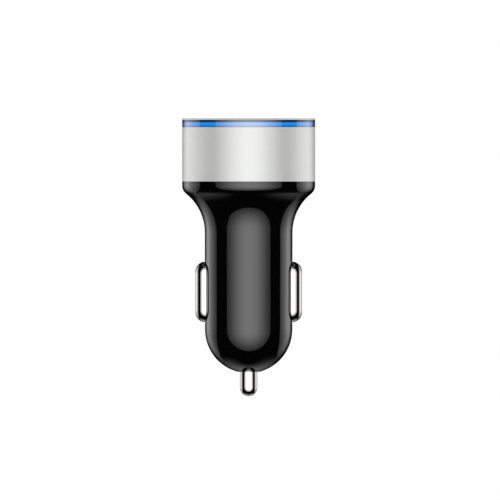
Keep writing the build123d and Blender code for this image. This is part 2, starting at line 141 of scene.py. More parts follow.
camera = bpy.data.objects.new("photo_camera", bpy.data.cameras.new("photo_camera"))
scene.collection.objects.link(camera)
camera.data.type = "ORTHO"
camera.data.ortho_scale = PHOTO_WIDTH * PIXEL
camera.location = (
    (PHOTO_WIDTH / 2 - AXIS_COLUMN) * PIXEL,
    -CAMERA_BACK,
    (ORIGIN_ROW - PHOTO_WIDTH / 2) * PIXEL,
)
camera.rotation_euler = (math.pi / 2, 0, 0)
scene.camera = camera
print("the picture is", round(camera.data.ortho_scale / MM, 1), "mm wide")

# %% [markdown]
# ## The studio
# Gloss black plastic has hardly any colour of its own: what it shows is the room. The photograph's studio
# can be read off the barrel. A round soft light stands in front, brightest in its middle. Beside it the room
# is dark, and then a pair of upright soft lights, a little behind the plug, draw the pale stripes near its
# edges. Low behind it a table glows weakly. Right behind the plug it is dark again, which gives the thin dark
# outline. The lights could be area lamps, but these soft edges and fades are easier to paint: one large
# sphere stands round the plug, and each of its points carries how brightly it glows. Angles are in degrees,
# and a glow of 1 is white. Each side light begins sharply at its inner angle, is brightest at its peak and
# fades out towards its outer angle.

# %% How brightly the studio glows in each direction
FRONT_RADIUS = 60
FRONT_RIM, FRONT_RISE, FRONT_FALL = 0.3, 1.8, 1.8
SIDE_HEIGHT, SIDE_DIMS = 0.57, 1.45
LEFT_LIGHT = {"inner": 94, "peak": 130, "outer": 160, "edge": 0.25, "level": 1.07}
RIGHT_LIGHT = {"inner": 91.5, "peak": 123, "outer": 156, "edge": 0.4, "level": 1.1}
LOW_RISE, LOW_HEIGHT, LOW_WIDTH, LOW_LEVEL = -48, 32, 46, 0.42


def fade(value, start, end):
    """Runs smoothly from 0 at start to 1 at end, and stays there."""
    share = min(max((value - start) / (end - start), 0), 1)
    return share * share * (3 - 2 * share)


def rise_of(way):
    """How far a direction points above level."""
    return math.degrees(math.asin(max(-1, min(1, way.z))))


def front_glow(way):
    """Round light straight ahead, brightest in its middle and cut off at its rim."""
    share = math.degrees(way.angle(Vector((0, -1, 0)))) / FRONT_RADIUS
    return FRONT_RIM + FRONT_RISE * (1 - share**2) ** FRONT_FALL if share < 1 else 0


def side_glow(way, sign, inner, peak, outer, edge, level):
    """Upright light at one side, its near half oval. Angles turn from the front about the plug's axis."""
    turn = math.degrees(math.atan2(sign * way.x, -way.y))
    oval = math.hypot((turn - peak) / (peak - inner), way.z / SIDE_HEIGHT)
    if not inner < turn < outer or (turn < peak and oval > 1) or abs(way.z) > SIDE_HEIGHT:
        return 0
    if turn < peak:
        across = edge + (level - edge) * (turn - inner) / (peak - inner)
    else:
        across = level * (1 - fade(turn, peak, outer))
    return across * (1 - SIDE_DIMS * abs(way.z))


def low_glow(way):
    """Weak light low behind the plug."""
    turn = math.degrees(math.atan2(way.x, way.y))
    rise = rise_of(way)
    oval = math.hypot((rise - LOW_RISE) / LOW_HEIGHT, turn * math.cos(math.radians(rise)) / LOW_WIDTH)
    return LOW_LEVEL * (1 - fade(oval, 0, 1))


def studio_glow(way):
    """Sum of the lights in one direction."""
    left = side_glow(way, -1, **LEFT_LIGHT)
    right = side_glow(way, 1, **RIGHT_LIGHT)
    return front_glow(way) + left + right + low_glow(way)


print("straight ahead the studio glows", round(studio_glow(Vector((0, -1, 0))), 2))

# %% [markdown]
# Between the lights the sphere is a black drape, but only for rays that come off gloss. High overhead it
# lets about a seventh of the white room through, so a polished surface that looks up isn't quite black.
# Diffuse light passes through it everywhere.

# %% Build the studio sphere
STUDIO_RADIUS = 1.5
STUDIO_STEPS = 240
DRAPE_FULL, DRAPE_ENDS = 55, 85
DRAPE_TOP = 0.85

bpy.ops.mesh.primitive_uv_sphere_add(
    segments=STUDIO_STEPS, ring_count=STUDIO_STEPS // 2, radius=STUDIO_RADIUS, rotation=(math.pi / 2, 0, 0)
)
studio = bpy.context.object
studio.name = "studio_sphere"
bpy.ops.object.transform_apply(rotation=True)
glow_layer = studio.data.attributes.new("glow", "FLOAT", "POINT")
drape_layer = studio.data.attributes.new("drape", "FLOAT", "POINT")
for vertex in studio.data.vertices:
    way = vertex.co.normalized()
    thinned = fade(rise_of(way), DRAPE_FULL, DRAPE_ENDS)
    glow_layer.data[vertex.index].value = studio_glow(way)
    drape_layer.data[vertex.index].value = 1 - (1 - DRAPE_TOP) * thinned
studio.visible_camera = False
studio.visible_transmission = False

cloth = empty_tree(bpy.data.materials.new("studio lights and drape"))
glow = add(cloth, "ShaderNodeAttribute", attribute_name="glow")
lights = add(cloth, "ShaderNodeEmission", {"Strength": glow.outputs["Fac"]})
drape = add(cloth, "ShaderNodeAttribute", attribute_name="drape")
ray = add(cloth, "ShaderNodeLightPath")
seen = add(
    cloth, "ShaderNodeMath", {0: drape.outputs["Fac"], 1: ray.outputs["Is Glossy Ray"]}, operation="MULTIPLY"
)
open_air = add(cloth, "ShaderNodeBsdfTransparent")
velvet = add(cloth, "ShaderNodeBsdfDiffuse", {"Color": linear("#000000")})
veil = add(
    cloth,
    "ShaderNodeMixShader",
    {0: seen.outputs["Value"], 1: open_air.outputs["BSDF"], 2: velvet.outputs["BSDF"]},
)
both = add(cloth, "ShaderNodeAddShader", {0: lights.outputs["Emission"], 1: veil.outputs["Shader"]})
add(cloth, "ShaderNodeOutputMaterial", {"Surface": both.outputs["Shader"]})
studio.data.materials.append(cloth)
print("the studio sphere has", len(studio.data.vertices), "points")

# %% [markdown]
# Satin metal is brighter towards its sides in the photograph than those lights can make it. Two fill lamps,
# level with the plug on its left and right, do that. Gloss would mirror them as hard squares, so they are
# hidden from it.

# %% The fill lamps
FILL_AWAY, FILL_SIZE, FILL_POWER = 1.0, 0.5, 8.0

for name, sign in (("left_fill", -1), ("right_fill", 1)):
    fill = bpy.data.objects.new(name, bpy.data.lights.new(name, "AREA"))
    fill.data.energy = FILL_POWER
    fill.data.size = FILL_SIZE
    fill.location = (sign * FILL_AWAY, 0, 0)
    fill.rotation_euler = (0, sign * math.pi / 2, 0)
    fill.visible_glossy = False
    scene.collection.objects.link(fill)
    print(name, "gives", FILL_POWER, "W from", FILL_AWAY, "m away")

# %% [markdown]
# The picture's background is plain white. The world is white, at a strength of exactly 1, for the rays that
# see it: those from the camera, and those that come off gloss and through glass. For all other rays it is
# a weak even light, so the white costs the plug no contrast.

# %% The world
ROOM_LIGHT = 0.4


def sees_white(owner):
    """1 for rays from the camera, off gloss and through glass, and 0 for all others."""
    ray = add(owner, "ShaderNodeLightPath").outputs
    seen = add(owner, "ShaderNodeMath", {0: ray["Is Camera Ray"], 1: ray["Is Glossy Ray"]})
    sockets = {0: seen.outputs["Value"], 1: ray["Is Transmission Ray"]}
    return add(owner, "ShaderNodeMath", sockets, use_clamp=True).outputs["Value"]


world = empty_tree(bpy.data.worlds.new("white room"))
scene.world = world
room = add(world, "ShaderNodeBackground", {"Strength": ROOM_LIGHT})
white = add(world, "ShaderNodeBackground", {"Color": linear("#ffffff"), "Strength": 1.0})
both = add(
    world,
    "ShaderNodeMixShader",
    {0: sees_white(world), 1: room.outputs["Background"], 2: white.outputs["Background"]},
)
add(world, "ShaderNodeOutputWorld", {"Surface": both.outputs["Shader"]})
print("the world lights the plug at", ROOM_LIGHT, "of its white")

# %% [markdown]
# The floor lies just under the tip, edge-on to the photograph's camera, and shows in every raised view. Its
# paint is pale, and a share of white for camera rays brings it close to the background while the plug's
# soft shadow stays on it. The photograph's plug floats in white and mirrors no floor, so glossy rays pass
# the floor by, and its underside is left clear.

# %% The floor
FLOOR_GAP = 0.1 * MM
FLOOR_HALF = 1.2
FLOOR_WHITE = 0.3

bpy.ops.mesh.primitive_grid_add(
    x_subdivisions=8, y_subdivisions=8, size=2 * FLOOR_HALF, location=(0, 0, cad_box[0].z - FLOOR_GAP)
)
floor = bpy.context.object
floor.name = "floor"
floor.visible_glossy = False
floor.visible_shadow = False

paint = empty_tree(bpy.data.materials.new("pale floor paint"))
lift = add(paint, "ShaderNodeMath", {0: sees_white(paint), 1: FLOOR_WHITE}, operation="MULTIPLY")
glow = add(paint, "ShaderNodeEmission", {"Strength": lift.outputs["Value"]})
coat = add(paint, "ShaderNodeBsdfDiffuse", {"Color": linear("#e6e6e6")})
upper = add(paint, "ShaderNodeAddShader", {0: coat.outputs["BSDF"], 1: glow.outputs["Emission"]})
side = add(paint, "ShaderNodeNewGeometry")
clear = add(paint, "ShaderNodeBsdfTransparent")
sheet = add(
    paint,
    "ShaderNodeMixShader",
    {0: side.outputs["Backfacing"], 1: upper.outputs["Shader"], 2: clear.outputs["BSDF"]},
)
add(paint, "ShaderNodeOutputMaterial", {"Surface": sheet.outputs["Shader"]})
floor.data.materials.append(paint)
print("the floor lies", round(FLOOR_GAP / MM, 2), "mm under the tip")

# %% [markdown]
# ## Finishes
# Each finish starts from the real material and from how its surface was made. No real surface is perfectly
# even, and three small patterns carry nearly all of that: a colour that drifts, a roughness that wanders and
# a fine grain in the surface. Each is a noise whose scale is worked out from a size in millimetres, and a
# way to draw the noise out in one direction turns it into the lines that rolling or drawing leave. Nearly
# all of a noise lies between 0.3 and 0.7, so that span is what the roughness is stretched from.


# %% Finish helpers
NOISE_LOW, NOISE_HIGH = 0.3, 0.7


def surface(name):
    """An empty material, and the socket that gives the place of each point on its piece in metres."""
    made = empty_tree(bpy.data.materials.new(name))
    return made, add(made, "ShaderNodeTexCoord").outputs["Object"]


def per_metre(size):
    """Noise scale for features of that size in metres."""
    return 1 / size


def drawn(material, place, shares):
    """The place, shrunk along each axis to its share, which draws a pattern out along the small ones."""
    return add(material, "ShaderNodeMapping", {"Vector": place, "Scale": shares}).outputs["Vector"]


def drift(material, place, size, first, second):
    """Colour that drifts between two hex colours, in patches of that size."""
    cloud = add(material, "ShaderNodeTexNoise", {"Vector": place, "Scale": per_metre(size), "Detail": 2.0})
    sockets = {"Factor": cloud.outputs["Fac"], "A": linear(first), "B": linear(second)}
    return add(material, "ShaderNodeMix", sockets, data_type="RGBA").outputs["Result"]


def wander(material, place, size, low, high):
    """Roughness that wanders between two values, in patches of that size."""
    cloud = add(material, "ShaderNodeTexNoise", {"Vector": place, "Scale": per_metre(size), "Detail": 3.0})
    sockets = {"From Min": NOISE_LOW, "From Max": NOISE_HIGH, "To Min": low, "To Max": high}
    sockets["Value"] = cloud.outputs["Fac"]
    return add(material, "ShaderNodeMapRange", sockets).outputs["Result"]


def grain(material, place, size, depth):
    """Normal of a fine grain of that size and depth, both in metres."""
    cloud = add(material, "ShaderNodeTexNoise", {"Vector": place, "Scale": per_metre(size), "Detail": 2.0})
    sockets = {"Height": cloud.outputs["Fac"], "Strength": 1.0, "Distance": depth}
    return add(material, "ShaderNodeBump", sockets).outputs["Normal"]


def close(material, sockets):
    """Ends a material with the principled shader, set or linked as told, and the output."""
    shader = add(material, "ShaderNodeBsdfPrincipled", sockets)
    add(material, "ShaderNodeOutputMaterial", {"Surface": shader.outputs["BSDF"]})
    print(material.name, "is made of", len(material.node_tree.nodes), "shader nodes")


def dress(material, *names):
    """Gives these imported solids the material."""
    for name in names:
        nodes[name].material_slots[0].material = material
    print(material.name, "on", ", ".join(names))


# %% [markdown]
# **Housing.** It is moulded in black ABS against a mirror-polished mould. To the eye that is black with a
# sharp, weak reflection over all of it. The colour could carry the pale stripes, but then they would stay
# put when the plug turns, so the shader is left nearly black and the studio paints them. A clear coat on top
# gives the skin that polishing leaves, and a ripple of a few millimetres keeps it from looking like glass.

# %% Gloss black ABS
black_abs, place = surface("gloss black ABS, polished mould")
close(
    black_abs,
    {
        "Base Color": drift(black_abs, place, 6 * MM, "#020202", "#040405"),
        "Roughness": wander(black_abs, place, 2 * MM, 0.05, 0.07),
        "Normal": grain(black_abs, place, 3 * MM, 0.001 * MM),
        "IOR": 1.5,
        "Coat Weight": 1.0,
        "Coat Roughness": 0.02,
        "Coat IOR": 1.5,
    },
)
dress(black_abs, "barrel_housing")

# %% [markdown]
# **Face plate.** It is the same ABS from a mould that was spark eroded, not polished, because fingers and
# plugs scratch a polished face. The mould's fine pits leave a soft sheen in place of the mirror image, so
# the face stays dark from low angles too. The pits are 0.03 mm wide and are drawn at 0.1 mm. Only its rim is
# polished, the thin line between the bezel and the light ring. The photograph shows strong reflections in
# that line, so the coat that draws them has a high IOR and lies only beyond the bezel's inner edge.

# %% Eroded black ABS
BEZEL_WIDTH = 0.9 * MM
sleeve_low, sleeve_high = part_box("head_sleeve")
head_radius = sleeve_high.x


def off_axis(material, place):
    """Distance of each point from the plug's axis."""
    level = add(material, "ShaderNodeVectorMath", {0: place, 1: (1, 1, 0)}, operation="MULTIPLY")
    across = add(material, "ShaderNodeVectorMath", {0: level.outputs["Vector"]}, operation="LENGTH")
    return across.outputs["Value"]


eroded_abs, place = surface("black ABS, spark eroded mould, polished rim")
sockets = {0: off_axis(eroded_abs, place), 1: head_radius - BEZEL_WIDTH}
rim = add(eroded_abs, "ShaderNodeMath", sockets, operation="GREATER_THAN")
close(
    eroded_abs,
    {
        "Base Color": drift(eroded_abs, place, 5 * MM, "#050506", "#09090a"),
        "Roughness": wander(eroded_abs, place, 0.4 * MM, 0.36, 0.44),
        "Normal": grain(eroded_abs, place, 0.1 * MM, 0.006 * MM),
        "IOR": 1.5,
        "Coat Weight": rim.outputs["Value"],
        "Coat Roughness": 0.03,
        "Coat IOR": 2.0,
    },
)
dress(eroded_abs, "face_plate")

# %% [markdown]
# **Head sleeve.** It is turned aluminium, blasted with fine glass beads and anodised clear. The beads leave
# tiny dents, so the metal gives no mirror image: it has one broad soft sheen, and the rest of its light goes
# every way, as off pale paint. That share is why Metallic is under a half here, which was matched to how the
# sleeve darkens and brightens again towards its sides. A bead's dent is about 0.05 mm, too fine for the
# picture, so the bump is drawn at 0.12 mm.

# %% Satin aluminium
satin, place = surface("anodised aluminium, bead blasted")
close(
    satin,
    {
        "Base Color": drift(satin, place, 4 * MM, "#cfd0ce", "#d2d3d1"),
        "Metallic": 0.43,
        "Roughness": wander(satin, place, 0.3 * MM, 0.28, 0.32),
        "Normal": grain(satin, place, 0.12 * MM, 0.002 * MM),
    },
)

# %% [markdown]
# **Bezel.** It is the same metal, blasted harder, so hardly any sheen is left. In the photograph its thin
# edge stays an even grey from the middle to the sides, where the sleeve below it brightens and darkens.

# %% Matt aluminium
matt_rim, place = surface("anodised aluminium, blasted matt")
close(
    matt_rim,
    {
        "Base Color": drift(matt_rim, place, 4 * MM, "#babab9", "#bebebd"),
        "Metallic": 0.12,
        "Roughness": wander(matt_rim, place, 0.3 * MM, 0.38, 0.44),
        "Normal": grain(matt_rim, place, 0.12 * MM, 0.003 * MM),
    },
)

# %% [markdown]
# ** Light ring.** It is clear polycarbonate, moulded, and lit from below by four blue LEDs under its skirt. A
# real light guide could be rendered as glass round lamps, but that takes many samples and its light is
# hard to steer. Here the surface itself glows. A wave that repeats four times round the ring gives a bright
# place over each LED. One that repeats twice is painted shade, which darkens the glow at the ring's two
# sides along X. Up the band it is brightest just above the middle. The strong white reflections that wash
# it out in front and at the sides come from the coat, whose IOR is set well above the 1.585 of
# polycarbonate to match them.

# %% Where the light ring glows
GLOW_MEAN = 0.71
# The four-times wave is the bright place over each LED; the twice-round wave is painted shade on the ring's
# sides along X.
GLOW_WAVES_AND_SIDE_SHADE = ((4, -0.24), (2, -0.17))
GLOW_UP_THE_BAND = ((0.0, 0.42), (0.22, 0.52), (0.4, 0.92), (0.55, 1.0), (0.72, 0.98), (0.95, 0.6))
ring_low, ring_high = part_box("light_ring")

light_guide, place = surface("polycarbonate light guide, blue lit")
axes = add(light_guide, "ShaderNodeSeparateXYZ", {"Vector": place}).outputs
bearing = add(light_guide, "ShaderNodeMath", {0: axes["Y"], 1: axes["X"]}, operation="ARCTAN2")
around = GLOW_MEAN
# Each wave adds to the mean glow; the twice-round one paints shade on the sides along X.
for turns, depth in GLOW_WAVES_AND_SIDE_SHADE:
    angle = add(light_guide, "ShaderNodeMath", {0: bearing.outputs["Value"], 1: turns}, operation="MULTIPLY")
    wave = add(light_guide, "ShaderNodeMath", {0: angle.outputs["Value"]}, operation="COSINE")
    sockets = {0: wave.outputs["Value"], 1: depth, 2: around}
    around = add(light_guide, "ShaderNodeMath", sockets, operation="MULTIPLY_ADD").outputs["Value"]
height = add(
    light_guide,
    "ShaderNodeMapRange",
    {"Value": axes["Z"], "From Min": sleeve_high.z, "From Max": ring_high.z},
)
up = add(light_guide, "ShaderNodeValToRGB", {"Fac": height.outputs["Result"]})
stops = up.color_ramp.elements
stops.remove(stops[1])
for number, (position, share) in enumerate(GLOW_UP_THE_BAND):
    stop = stops[0] if number == 0 else stops.new(position)
    stop.position = position
    stop.color = (share, share, share, 1)
glow = add(light_guide, "ShaderNodeMath", {0: around, 1: up.outputs["Color"]}, operation="MULTIPLY")
print("the band glows from", round(sleeve_high.z / MM, 2), "to", round(ring_high.z / MM, 2), "mm up")

# %% Blue light guide
LED_BLUE = "#1d94eb"
LED_STRENGTH = 1.1

sockets = {0: glow.outputs["Value"], 1: LED_STRENGTH}
strength = add(light_guide, "ShaderNodeMath", sockets, operation="MULTIPLY")
close(
    light_guide,
    {
        "Base Color": drift(light_guide, place, 3 * MM, "#04204a", "#05264f"),
        "Roughness": wander(light_guide, place, 1 * MM, 0.08, 0.1),
        "IOR": 1.585,
        "Coat Weight": 1.0,
        "Coat Roughness": 0.03,
        "Coat IOR": 2.5,
        "Emission Color": linear(LED_BLUE),
        "Emission Strength": strength.outputs["Value"],
    },
)

# %% [markdown]
# **Tip and side contacts.** They are turned and pressed brass, nickel plated bright. Plating fills the
# smallest marks, so the metal mirrors the studio almost sharply. What is left are faint lines along the
# way that the plug slides into its socket, drawn out thirty times as long as they are wide.

# %% Bright nickel
nickel, place = surface("nickel plated brass, bright")
lines = drawn(nickel, place, (1, 1, 0.03))
close(
    nickel,
    {
        "Base Color": drift(nickel, place, 3 * MM, "#f1f0ed", "#f5f4f2"),
        "Metallic": 1.0,
        "Roughness": wander(nickel, lines, 0.2 * MM, 0.03, 0.05),
        "Normal": grain(nickel, lines, 0.15 * MM, 0.0001 * MM),
    },
)

# %% [markdown]
# **Port shells.** They are folded from nickel plated steel strip. Rolling leaves lines along the strip, which
# runs round the shell, so the pattern is drawn out sideways. The metal is a little greyer and much less
# sharp than the bright contacts.

# %% Rolled steel strip
strip, place = surface("nickel plated steel, rolled")
lines = drawn(strip, place, (0.04, 0.04, 1))
close(
    strip,
    {
        "Base Color": drift(strip, place, 2 * MM, "#c9c8c5", "#d3d2cf"),
        "Metallic": 1.0,
        "Roughness": wander(strip, lines, 0.1 * MM, 0.16, 0.26),
        "Normal": grain(strip, lines, 0.1 * MM, 0.0006 * MM),
    },
)
dress(strip, "usb_shell_a", "usb_shell_b")

# %% [markdown]
# **Port tongues.** They are white glass-filled nylon, moulded. The fibres make it slightly cloudy and keep it
# from being glossy, which a broad highlight over a fine grain shows. A touch of light goes into nylon and
# comes out again close by, so the shader scatters a little under its surface.

# %% White nylon
nylon, place = surface("glass-filled nylon, moulded")
close(
    nylon,
    {
        "Base Color": drift(nylon, place, 1.5 * MM, "#e3e2dc", "#ecebe6"),
        "Roughness": wander(nylon, place, 0.4 * MM, 0.4, 0.5),
        "Normal": grain(nylon, place, 0.08 * MM, 0.002 * MM),
        "IOR": 1.53,
        "Subsurface Weight": 0.15,
        "Subsurface Scale": 0.3 * MM,
    },
)
dress(nylon, "usb_insulator_a", "usb_insulator_b")

# %% [markdown]
# **Port blades.** They are phosphor bronze strip, gold plated where a plug touches them. A flash of gold is
# thin, so the lines of the rolled strip still show through it along each blade.

# %% Gold plate
gold, place = surface("gold plated bronze, rolled")
lines = drawn(gold, place, (1, 1, 0.04))
close(
    gold,
    {
        "Base Color": drift(gold, place, 1 * MM, "#e8c172", "#f0cd83"),
        "Metallic": 1.0,
        "Roughness": wander(gold, lines, 0.06 * MM, 0.14, 0.24),
        "Normal": grain(gold, lines, 0.06 * MM, 0.0005 * MM),
    },
)
dress(gold, "usb_contacts_a", "usb_contacts_b")

# %% [markdown]
# **Circuit boards.** A board is glass cloth in epoxy with copper traces on it, under a green solder mask.
# The mask is lighter where copper lies below it and stands up there by the copper's 0.035 mm. The joints
# of a brick pattern bend and branch much as traces do, so one brick texture gives colour and height, with
# four rows to its unit. The round board lies flat and the main board stands upright, so its pattern is
# turned by a quarter.

# %% Board laminate
TRACE_PITCH = 1.3 * MM
ROWS_TO_A_UNIT = 4
COPPER = 0.035 * MM


def laminate(name, turn):
    """Green solder mask over traces, with the pattern turned about X."""
    board, place = surface(name)
    flat = add(board, "ShaderNodeMapping", {"Vector": place, "Rotation": (turn, 0, 0)})
    traces = add(
        board,
        "ShaderNodeTexBrick",
        {
            "Vector": flat.outputs["Vector"],
            "Color1": linear("#0b4a26"),
            "Color2": linear("#0d522b"),
            "Mortar": linear("#1c7341"),
            "Scale": per_metre(ROWS_TO_A_UNIT * TRACE_PITCH),
            "Mortar Size": 0.03,
            "Mortar Smooth": 0.3,
        },
    )
    sockets = {"Height": traces.outputs["Fac"], "Strength": 1.0, "Distance": COPPER}
    step = add(board, "ShaderNodeBump", sockets)
    close(
        board,
        {
            "Base Color": traces.outputs["Color"],
            "Roughness": wander(board, place, 0.5 * MM, 0.28, 0.36),
            "Normal": step.outputs["Normal"],
            "IOR": 1.52,
        },
    )
    return board


dress(laminate("glass epoxy board, masked, flat", 0), "usb_board")
dress(laminate("glass epoxy board, masked, upright", math.pi / 2), "main_board")

# %% [markdown]
# **LEDs.** Each is a white moulded cup filled with clear resin, with a blue chip that lights the middle of
# it. How far a point is from the plug's axis tells resin from cup, because all four stand on one circle,
# under the middle of the light ring's skirt.

# %% LED packages
LED_WINDOW = 0.3 * MM
SKIRT_OUTER, SKIRT_WALL = 13.5 * MM, 1.2 * MM

led, place = surface("LED cup and resin, blue lit")
sockets = {0: off_axis(led, place), 1: SKIRT_OUTER - SKIRT_WALL / 2, 2: LED_WINDOW}
resin = add(led, "ShaderNodeMath", sockets, operation="COMPARE")
cup = drift(led, place, 0.5 * MM, "#e8e6da", "#efede3")
sockets = {"Factor": resin.outputs["Value"], "A": cup, "B": linear("#9fb6d8")}
fill = add(led, "ShaderNodeMix", sockets, data_type="RGBA")
close(
    led,
    {
        "Base Color": fill.outputs["Result"],
        "Roughness": wander(led, place, 0.2 * MM, 0.25, 0.4),
        "IOR": 1.5,
        "Emission Color": linear(LED_BLUE),
        "Emission Strength": resin.outputs["Value"],
    },
)
dress(led, "ring_leds")

# %% [markdown]
# **Fuse, small resistors and small capacitors.** All are flat ceramic chips with tinned end caps, by which
# they are soldered. The chips of a row repeat at one pitch, so the place along the row is wrapped to that
# pitch, and whatever lies beyond the body's half length is cap. The fuse stands alone, and its pitch only has
# to be longer than it is. The ceramic between the caps is white for the fuse, black glaze for the resistors
# and tan for the capacitors.

# %% Capped chips
CHIP_PITCH, FUSE_PITCH = 3.0 * MM, 12.0 * MM
TIN = "#cfcdc8"


def capped_chip(name, first, second, pitch, half, rough):
    """Ceramic in two hex colours between tinned caps, which begin at half from each chip's middle."""
    chip, place = surface(name)
    along = add(chip, "ShaderNodeSeparateXYZ", {"Vector": place}).outputs["X"]
    local = add(chip, "ShaderNodeMath", {0: along, 1: pitch / 2, 2: -pitch / 2}, operation="WRAP")
    reach = add(chip, "ShaderNodeMath", {0: local.outputs["Value"]}, operation="ABSOLUTE")
    cap = add(chip, "ShaderNodeMath", {0: reach.outputs["Value"], 1: half}, operation="GREATER_THAN")
    body = drift(chip, place, 0.4 * MM, first, second)
    sockets = {"Factor": cap.outputs["Value"], "A": body, "B": linear(TIN)}
    coat = add(chip, "ShaderNodeMix", sockets, data_type="RGBA")
    close(
        chip,
        {
            "Base Color": coat.outputs["Result"],
            "Metallic": cap.outputs["Value"],
            "Roughness": wander(chip, place, 0.15 * MM, rough, rough + 0.1),
            "Normal": grain(chip, place, 0.05 * MM, 0.001 * MM),
        },
    )
    return chip


for node, *finish in (
    ("board_fuse", "ceramic fuse, tinned ends", "#dddcd6", "#e6e5e0", FUSE_PITCH, 1.1 * MM, 0.3),
    ("chip_resistors", "thick film resistor, black glaze", "#0d0d0e", "#141415", CHIP_PITCH, 0.65 * MM, 0.2),
    ("chip_capacitors", "ceramic capacitor, tan", "#8f7350", "#a5875f", CHIP_PITCH, 0.6 * MM, 0.35),
):
    dress(capped_chip(*finish), node)

# %% [markdown]
# **Converter chip and diode.** They are moulded in black epoxy with a fine matt skin. The chip has a round
# dimple by its first leg, which is a ball-shaped patch of points near one corner of its face. The diode has
# a pale band across one end of its body, which marks its cathode.

# %% Moulded epoxy
DIMPLE, DIMPLE_FLOOR, DIMPLE_DEPTH = 0.4 * MM, 0.32 * MM, 0.1 * MM
BAND = 0.9 * MM
chip_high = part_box("converter_chip")[1]
dimple_at = (chip_high.x - 2 * DIMPLE, chip_high.y, chip_high.z - 2 * DIMPLE)
diode_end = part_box("rectifier_diode")[1].x - BAND

epoxy, place = surface("epoxy moulding compound, dimpled")
away = add(epoxy, "ShaderNodeVectorMath", {0: place, 1: dimple_at}, operation="DISTANCE")
hollow = add(
    epoxy,
    "ShaderNodeMapRange",
    {"Value": away.outputs["Value"], "From Min": DIMPLE_FLOOR, "From Max": DIMPLE},
)
skin = grain(epoxy, place, 0.05 * MM, 0.002 * MM)
sockets = {"Height": hollow.outputs["Result"], "Distance": DIMPLE_DEPTH, "Normal": skin}
dent = add(epoxy, "ShaderNodeBump", sockets)
close(
    epoxy,
    {
        "Base Color": drift(epoxy, place, 0.3 * MM, "#141414", "#1c1c1d"),
        "Roughness": wander(epoxy, place, 0.3 * MM, 0.5, 0.62),
        "Normal": dent.outputs["Normal"],
        "IOR": 1.55,
    },
)
dress(epoxy, "converter_chip")

banded, place = surface("epoxy moulding compound, banded")
along = add(banded, "ShaderNodeSeparateXYZ", {"Vector": place}).outputs["X"]
ink = add(banded, "ShaderNodeMath", {0: along, 1: diode_end}, operation="GREATER_THAN")
body = drift(banded, place, 0.3 * MM, "#151515", "#1d1d1e")
sockets = {"Factor": ink.outputs["Value"], "A": body, "B": linear("#a6a6a3")}
printed = add(banded, "ShaderNodeMix", sockets, data_type="RGBA")
close(
    banded,
    {
        "Base Color": printed.outputs["Result"],
        "Roughness": wander(banded, place, 0.3 * MM, 0.45, 0.58),
        "Normal": grain(banded, place, 0.05 * MM, 0.002 * MM),
        "IOR": 1.55,
    },
)
dress(banded, "rectifier_diode")

# %% [markdown]
# **Inductor core.** It is a pressed and sintered ferrite drum: charcoal grey, matt, with small pores. The
# grains are metal oxide, which gives a dull sheen and no colour.

# %% Sintered ferrite
ferrite, place = surface("ferrite, sintered")
close(
    ferrite,
    {
        "Base Color": drift(ferrite, place, 0.2 * MM, "#28282b", "#37373a"),
        "Metallic": 0.2,
        "Roughness": wander(ferrite, place, 0.2 * MM, 0.5, 0.65),
        "Normal": grain(ferrite, place, 0.08 * MM, 0.008 * MM),
    },
)
dress(ferrite, "inductor_core")

# %% [markdown]
# **Capacitor cans.** They are drawn aluminium cups, bright, with lines up their sides from the drawing. The
# lines are drawn out along the can.

# %% Drawn aluminium
can_metal, place = surface("aluminium can, deep drawn")
lines = drawn(can_metal, place, (1, 1, 0.03))
close(
    can_metal,
    {
        "Base Color": drift(can_metal, place, 2 * MM, "#d6d6d8", "#dededf"),
        "Metallic": 1.0,
        "Roughness": wander(can_metal, lines, 0.1 * MM, 0.18, 0.3),
        "Normal": grain(can_metal, lines, 0.1 * MM, 0.001 * MM),
    },
)
dress(can_metal, "input_capacitor", "output_capacitor")

# %% [markdown]
# **Chip legs and spring terminal.** They are copper, dipped in tin. Tin freezes in small soft-edged patches,
# each a little duller or brighter than the next, which cells of half a millimetre give.

# %% Tinned copper
TIN_PATCH = 0.5 * MM

tinned, place = surface("copper, dip tinned")
cells = add(tinned, "ShaderNodeTexVoronoi", {"Vector": place, "Scale": per_metre(TIN_PATCH)})
patch = add(tinned, "ShaderNodeMapRange", {"Value": cells.outputs["Color"], "To Min": 0.2, "To Max": 0.38})
close(
    tinned,
    {
        "Base Color": drift(tinned, place, 0.8 * MM, "#c9c7c1", "#d5d3ce"),
        "Metallic": 1.0,
        "Roughness": patch.outputs["Result"],
        "Normal": grain(tinned, place, 0.3 * MM, 0.003 * MM),
    },
)
dress(tinned, "converter_leads", "spring_terminal")

# %% [markdown]
# **Springs and winding.** Spring steel is drawn to wire or rolled to strip and keeps a dense grey shine. The
# inductor is wound with enamelled copper: the colour is the copper's, and the coat over it is the enamel.

# %% Spring steel and enamelled copper
spring_steel, place = surface("spring steel, drawn")
close(
    spring_steel,
    {
        "Base Color": drift(spring_steel, place, 1 * MM, "#b4b3b0", "#c2c1be"),
        "Metallic": 1.0,
        "Roughness": wander(spring_steel, place, 0.08 * MM, 0.22, 0.34),
        "Normal": grain(spring_steel, place, 0.06 * MM, 0.001 * MM),
    },
)

enamelled, place = surface("copper wire, enamelled")
close(
    enamelled,
    {
        "Base Color": drift(enamelled, place, 0.6 * MM, "#b5622c", "#c46f37"),
        "Metallic": 1.0,
        "Roughness": wander(enamelled, place, 0.15 * MM, 0.2, 0.3),
        "Coat Weight": 1.0,
        "Coat Roughness": 0.08,
        "Coat Tint": linear("#f2c089"),
    },
)

# %% [markdown]
# ## Finer meshes
# The solids' round faces are cut into flat strips, and their edges are sharp or plainly chamfered. The
# pieces whose edges and curves catch the light get meshes of their own, of the same size and in the same
# place. Nearly all of them are turned or pressed round an axis, so one function builds them: it takes an
# outline, carries it round Z, and can pull the two halves apart, which turns a circle into the long round
# shape of a side contact. A modifier could spin the outline too, but this way each row of points is known.
# Smooth shading bends the light of a large face towards the small rounds at its edges, and would draw a
# gradient down the sleeve. Weighted normals let the larger face win, so it stays even.


# %% Turned meshes
TURN_STEPS = 192
SHARP_ANGLE = math.radians(35)


